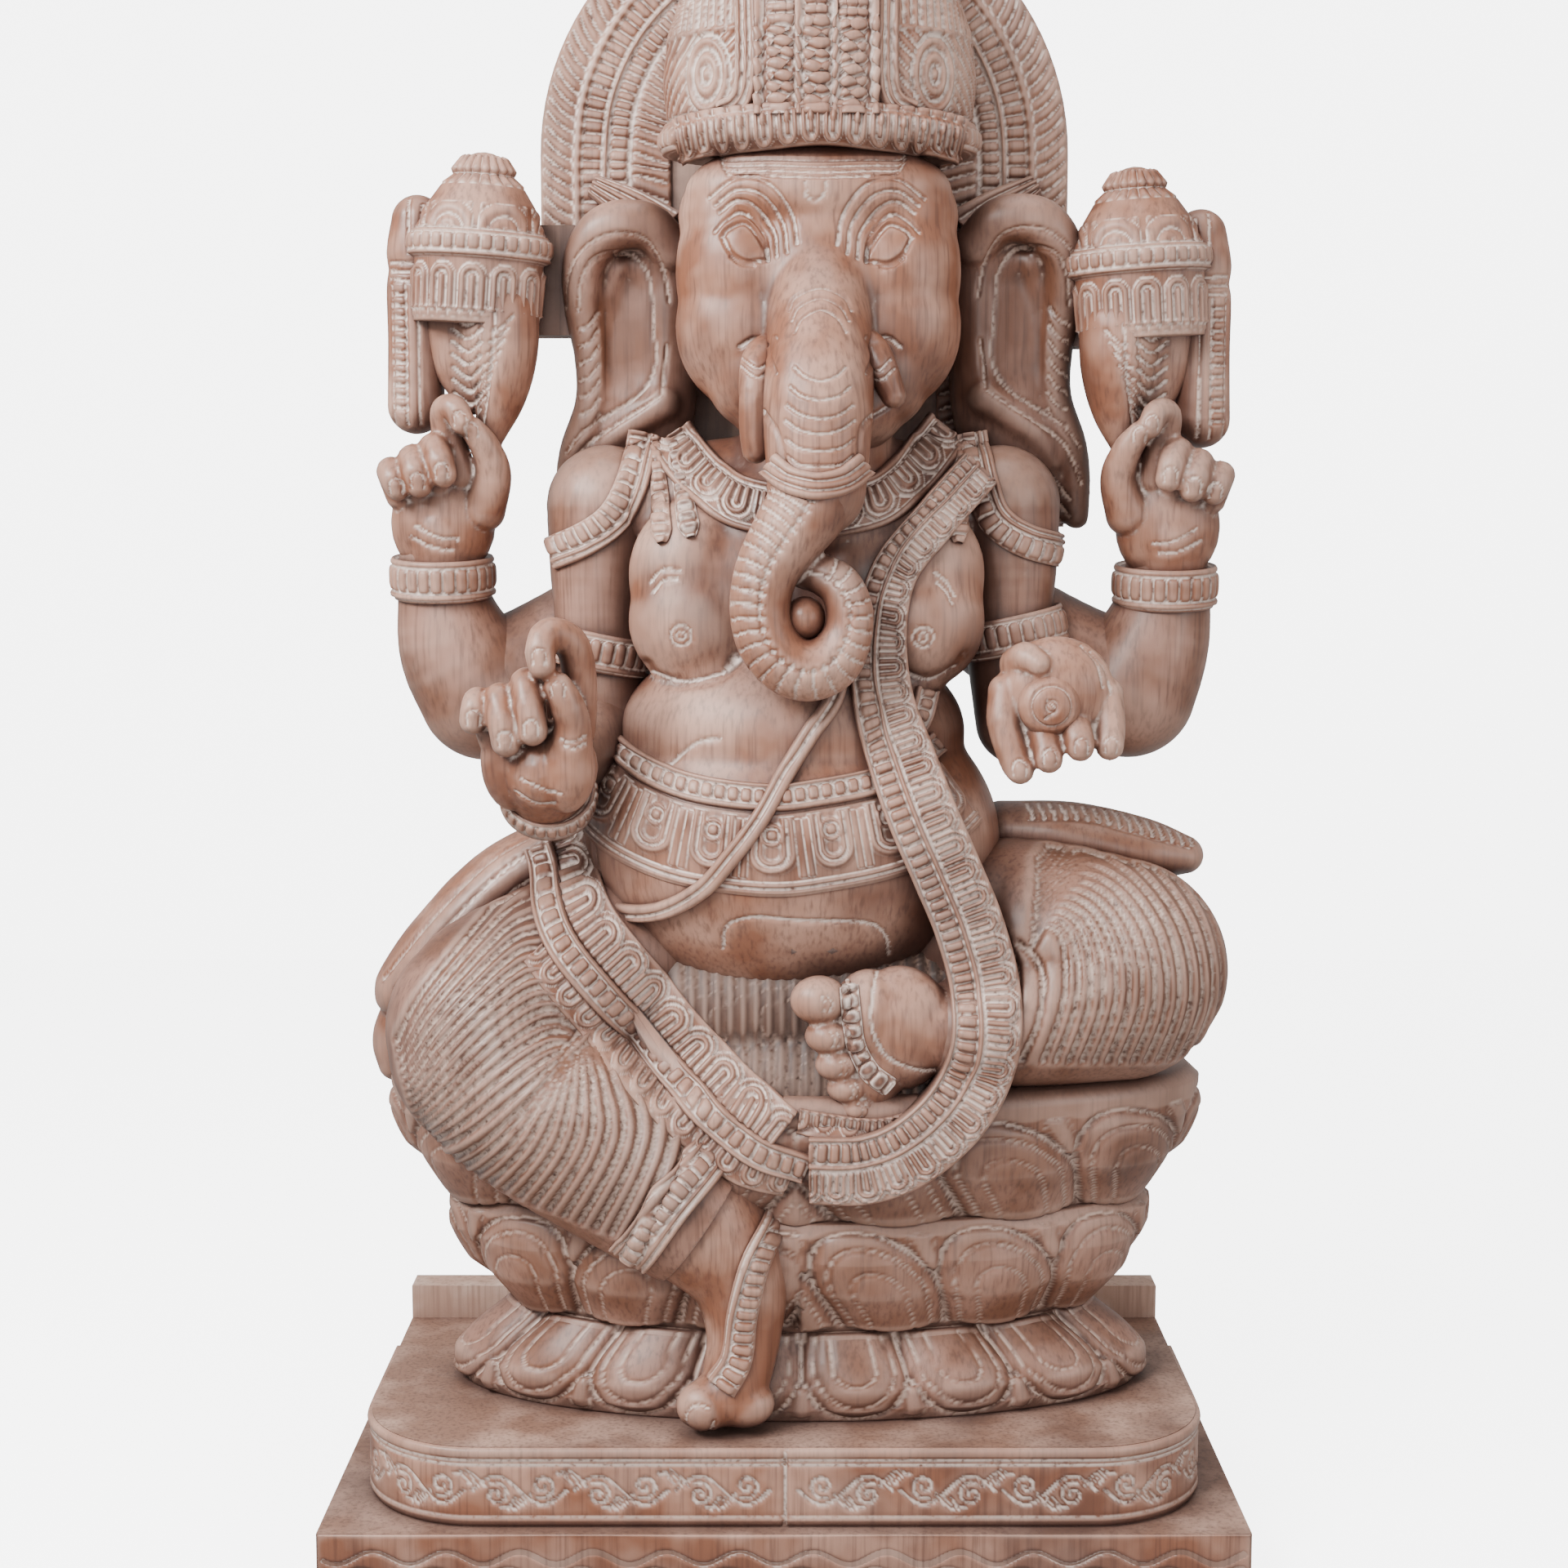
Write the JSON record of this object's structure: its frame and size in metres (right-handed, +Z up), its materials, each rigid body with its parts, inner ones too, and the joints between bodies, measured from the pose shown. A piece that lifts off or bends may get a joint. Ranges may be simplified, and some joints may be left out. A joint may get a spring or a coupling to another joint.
{
  "type": "carved wooden ganesha idol",
  "caption": "Seated four-armed Ganesha carved in limed hardwood, on a lotus seat over a stepped base, with a crown and an arched halo board.",
  "frame": {"origin": "middle of the underside of the base board, on the surface that it stands on", "axes": "+Z up, -Y towards the front that the idol faces, +X towards the idol's own left side (the viewer's right)"},
  "size_m": [0.64, 0.32, 1.2001],
  "materials": {
    "limed_wood": "carved hardwood, limed in the grooves and rubbed to a soft satin wax",
    "rough_sawn_wood": "sawn hardwood, stained and lightly limed",
    "dowel_wood": "plain hardwood dowel, glued in",
    "steel_screws": "plain steel wood screw"
  },
  "bodies": {
    "root": {"base_board": "limed_wood", "plinth_block": "limed_wood", "plinth_rail": "rough_sawn_wood", "lotus_foot": "limed_wood", "lotus_cup": "limed_wood", "lotus_seat": "limed_wood", "torso": "limed_wood", "navel_plug": "rough_sawn_wood", "head": "limed_wood", "trunk_curl": "limed_wood", "trunk_sweet": "limed_wood", "right_tusk": "limed_wood", "left_tusk": "limed_wood", "right_ear": "limed_wood", "left_ear": "limed_wood", "crown": "limed_wood", "crown_finial": "limed_wood", "halo_board": "limed_wood", "right_bridge": "rough_sawn_wood", "left_bridge": "rough_sawn_wood", "right_goad": "limed_wood", "left_noose": "limed_wood", "right_goad_tassel": "limed_wood", "left_noose_tassel": "limed_wood", "right_rear_upper_arm": "limed_wood", "right_rear_forearm": "limed_wood", "right_rear_hand": "limed_wood", "left_rear_upper_arm": "limed_wood", "left_rear_forearm": "limed_wood", "left_rear_hand": "limed_wood", "right_front_upper_arm": "limed_wood", "right_front_forearm": "limed_wood", "right_front_hand": "limed_wood", "left_front_upper_arm": "limed_wood", "left_front_forearm": "limed_wood", "left_front_hand": "limed_wood", "modak": "limed_wood", "right_leg": "limed_wood", "right_foot": "limed_wood", "left_leg": "limed_wood", "left_foot": "limed_wood", "lap_cloth": "limed_wood", "right_hip_cloth": "limed_wood", "left_hip_cloth": "limed_wood", "garland": "limed_wood", "base_screws": "steel_screws", "plinth_dowels": "dowel_wood", "lotus_dowels": "dowel_wood", "seat_dowels": "dowel_wood", "neck_dowels": "dowel_wood", "crown_dowels": "dowel_wood", "halo_screws": "steel_screws", "arm_dowels": "dowel_wood", "leg_dowels": "dowel_wood"}
  },
  "joints": []
}
